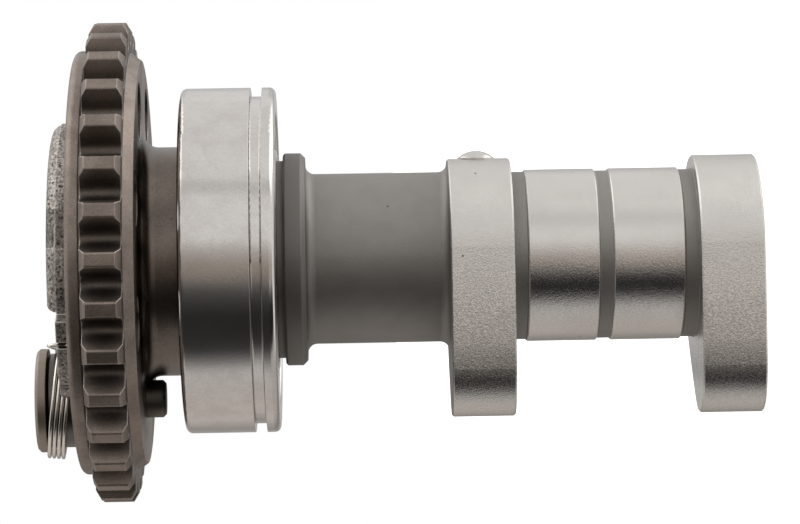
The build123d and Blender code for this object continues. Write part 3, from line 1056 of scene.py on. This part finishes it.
@dataclass
class LightTent:
    """A round light tent about the axis, whose wall is pale or dark by its direction.

    Angles are in degrees round Z from -Y towards +X, and greys are linear. Heights and radii
    are in metres.

    Attributes:
        radius: Radius of the tent.
        columns: How many columns its wall has.
        wall: Greys by angle where the bearing and the sprocket mirror it.
        low_wall: Greys by angle where the lobes and the journals mirror it.
        rows: Height of each row, its share of the low wall and its share of the lamps.
        lamps: How much brighter the lamps over and under the mirrored part make the upper
            side, by angle.
        warmth: How warm the wall's light is, from 0 to 1, by angle.
        warm: Colour of the warmest light, linear.
    """

    radius: float = 0.8
    columns: int = 720
    wall: Table = (
        (-180, 0.62), (-160, 0.37), (-150, 0.37), (-132, 0.66), (-124, 0.68), (-80, 0.68),
        (-75, 0.55), (-69, 0.2), (-62, 0.04), (-36, 0.03), (-26, 0.06), (-18, 0.09),
        (-14, 0.2), (-10, 0.31), (-3, 0.4), (2, 0.5), (8, 0.64), (12, 0.92), (16, 0.97),
        (43, 0.97), (46, 0.74), (52, 0.74), (55, 0.97), (137, 0.97), (150, 0.85),
        (162, 0.6), (172, 0.62), (180, 0.62),
    )
    low_wall: Table = (
        (-180, 0.62), (-160, 0.3), (-150, 0.3), (-132, 0.56), (-124, 0.6), (-80, 0.62),
        (-72, 0.62), (-65, 0.52), (-60, 0.08), (-54, 0.02), (-38, 0.02), (-30, 0.03),
        (-24, 0.1), (-21, 0.2), (-18, 0.42), (-15, 0.52), (-9, 0.58), (-3, 0.58), (2, 0.6),
        (8, 0.8), (12, 0.95), (16, 1.0), (43, 1.0), (46, 0.62), (52, 0.62), (55, 1.0),
        (137, 1.0), (150, 0.75), (162, 0.55), (172, 0.62), (180, 0.62),
    )
    rows: tuple[tuple[float, float, float], ...] = (
        (-1.2, 1.0, 1.0), (-0.32, 1.0, 1.0), (-0.22, 1.0, 0.0), (0.015, 1.0, 0.0),
        (0.07, 0.0, 0.0), (0.3, 0.0, 0.0), (0.4, 0.0, 0.9), (1.6, 0.0, 0.9),
    )
    lamps: Table = ((40, 0.0), (65, 1.05), (140, 1.05), (160, 0.0))
    warmth: Table = (
        (-180, 0.2), (-155, 0.45), (-124, 0.6), (-105, 0.5), (-88, 0.25), (-75, 0.2),
        (-60, 0.0), (-24, 0.0), (-16, 0.4), (-11, 0.9), (-4, 1.0), (2, 0.7), (8, 0.25),
        (14, 0.05), (180, 0.05),
    )
    warm: Colour = (1.0, 0.885, 0.79)

    def cloth(self) -> bpy.types.Material:
        """The wall's material, which glows by the numbers that its points carry."""
        shader = MaterialShader("tent_cloth")
        grey, warmth = (
            shader.node("Attribute", attribute_name=glow.value).outputs["Fac"]
            for glow in (Glow.GREY, Glow.WARMTH)
        )
        light = shader.mix(warmth, WHITE, self.warm)
        return shader.finish(shader.node("Emission", {"Color": light, "Strength": grey}).outputs[0])

    def build(self) -> None:
        """Makes the tent's wall, which the camera doesn't see.

        The wall is a cylinder: a point at angle a and height h is the radius times
        (sin a, -cos a), and h. Its grey is the two tables' mixed by the row's share, times
        one plus the lamps' by the row's other share.
        """
        angle = np.linspace(-180.0, 180.0, self.columns, endpoint=False)
        turn = np.radians(angle)
        ring = np.stack([self.radius * np.sin(turn), -self.radius * np.cos(turn)], 1)
        height, low_share, lift = np.array(self.rows).T[:, :, None]
        across = np.broadcast_to(ring, (len(self.rows), *ring.shape))
        up = np.broadcast_to(height[..., None], (len(self.rows), self.columns, 1))
        tent = Grid.mesh("light_tent", np.concatenate([across, up], 2), wrap=True)
        tables = (self.wall, self.low_wall, self.lamps, self.warmth)
        wall, low_wall, lamps, warmth = (np.interp(angle, *np.array(table).T) for table in tables)
        grey = (wall + (low_wall - wall) * low_share) * (1 + lamps * lift)
        warmth = np.broadcast_to(warmth, grey.shape)
        for glow, values in ((Glow.GREY, grey), (Glow.WARMTH, warmth)):
            attribute = tent.data.attributes.new(glow.value, "FLOAT", "POINT")
            attribute.data.foreach_set("value", values.astype(np.float32).ravel())
        tent.data.materials.append(self.cloth())
        tent.visible_camera = False


@dataclass
class Studio:
    """Pale floor, plain surroundings and the light tent.

    Attributes:
        floor_reach: Distance from the axis to the floor's edges, in metres.
        floor_glow: How bright the floor glows where it is seen directly.
        floor_colour: Colour of the floor, linear.
        surround: How bright the surroundings are where they aren't seen directly.
    """

    floor_reach: float = 3.0
    floor_glow: float = 0.9
    floor_colour: Colour = (0.8, 0.8, 0.8)
    surround: float = 0.85

    def seen_directly(self, shader: Shader) -> Socket:
        """One for rays of the camera and for those that mirror or pass through, else zero."""
        path = shader.node("LightPath").outputs
        mirrored = shader.math("MAXIMUM", path["Is Glossy Ray"], path["Is Transmission Ray"])
        return shader.math("MAXIMUM", path["Is Camera Ray"], mirrored)

    def floor(self) -> None:
        """Makes the flat floor that the part stands on and that keeps its shadow."""
        ends = np.array([-self.floor_reach, self.floor_reach])
        beside, across = np.meshgrid(ends, ends, indexing="ij")
        floor = Grid.mesh("floor", np.stack([across, beside, np.zeros_like(across)], -1))
        shader = MaterialShader("pale_floor")
        cloth = shader.node("BsdfDiffuse", {"Color": (*self.floor_colour, 1.0)}).outputs[0]
        lift = shader.product(self.seen_directly(shader), self.floor_glow)
        glow = shader.node("Emission", {"Strength": lift}).outputs[0]
        both = shader.node("AddShader", {0: cloth, 1: glow}).outputs[0]
        floor.data.materials.append(shader.finish(both))
        floor.visible_glossy = False

    def world(self) -> None:
        """Makes the surroundings: white for the camera and mirrored rays, else a little less."""
        world = bpy.data.worlds.new("surroundings")
        world.use_nodes = True
        shader = Shader(world.node_tree)
        strength = shader.span(self.seen_directly(shader), (0.0, 1.0), (self.surround, 1.0))
        background = shader.tree.nodes["Background"]
        background.inputs["Color"].default_value = (*WHITE, 1.0)
        shader.tree.links.new(strength, background.inputs["Strength"])
        bpy.context.scene.world = world

    def build(self) -> None:
        """Makes the floor, the surroundings and the tent."""
        self.floor()
        self.world()
        LightTent().build()


@dataclass
class Portrait:
    """The camera of the portrait: it looks along +Y from beside the shaft.

    Attributes:
        distance: Distance from the axis in metres.
        height: Height of the camera in metres.
        lens: Focal length in millimetres.
        sensor: Width of the sensor in millimetres.
        nearest: Distance at which the camera begins to see, in metres.
        roll: Turn of the picture in degrees.
        down: How far the middle of the picture looks down, in degrees.
        aside: How far it looks towards -X, in degrees.
    """

    distance: float = 0.44
    height: float = 52.8 * MM
    lens: float = 154.8
    sensor: float = 36.0
    nearest: float = 10 * MM
    roll: float = 0.99
    down: float = 0.966
    aside: float = 0.075

    def build(self) -> None:
        """Makes the camera, whose right is -Z and whose up is +X of the part."""
        roll, down, aside = (math.radians(turn) for turn in (self.roll, self.down, self.aside))
        right = Vector((-math.sin(roll), 0.0, -math.cos(roll)))
        ahead = Vector((-math.sin(aside), math.cos(down), -math.sin(down))).normalized()
        right = (right - ahead * right.dot(ahead)).normalized()
        up = right.cross(ahead)
        turn = Matrix((right, up, -ahead)).transposed().to_4x4()
        data = bpy.data.cameras.new("portrait")
        data.lens = self.lens
        data.sensor_width = self.sensor
        data.clip_start = self.nearest
        camera = bpy.data.objects.new("portrait", data)
        bpy.context.scene.collection.objects.link(camera)
        camera.matrix_world = Matrix.Translation((0.0, -self.distance, self.height)) @ turn
        bpy.context.scene.camera = camera


def main() -> None:
    """Builds the studio, the camera, the finishes and the new pieces, in that order."""
    logging.basicConfig(level=logging.INFO, format="%(name)s: %(message)s")
    bpy.context.scene.view_settings.view_transform = "Standard"
    Studio().build()
    Portrait().build()
    Dressing().apply()
    spring = SpringWinding().build(WIRE.build())
    LOG.info("%s: %d faces", spring.name, len(spring.data.polygons))


if __name__ == "__main__":
    main()
